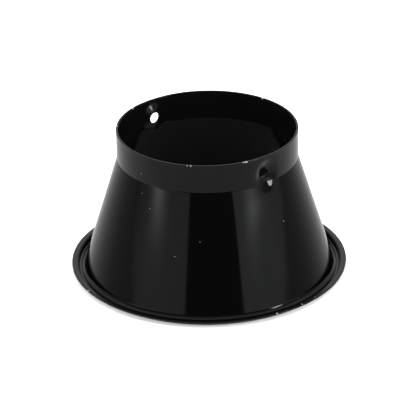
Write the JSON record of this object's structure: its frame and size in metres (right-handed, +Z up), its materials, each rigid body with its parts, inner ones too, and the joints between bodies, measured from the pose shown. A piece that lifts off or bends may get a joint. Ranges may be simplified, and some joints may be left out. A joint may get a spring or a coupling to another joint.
{
  "type": "snoot",
  "caption": "Short black sheet-steel snoot for a studio flash: stepped mount ring, flared cone and an open outlet collar with dimpled screw holes.",
  "frame": {"origin": "centre of the mount ring's underside, on the surface that the snoot stands on", "axes": "+Z up along the snoot's axis, from the mount ring to the outlet; X through the two screw holes in the collar"},
  "size_m": [0.1, 0.1, 0.0545],
  "materials": {
    "ring_paint": "gloss black paint on sheet steel, chipped to bare metal at the rim",
    "cone_paint": "gloss black paint, with a few chips to bare metal",
    "collar_paint": "satin black paint, worn to bare metal along the rim"
  },
  "bodies": {
    "root": {"mount_ring": "ring_paint", "cone_shell": "cone_paint", "outlet_collar": "collar_paint"}
  },
  "joints": []
}
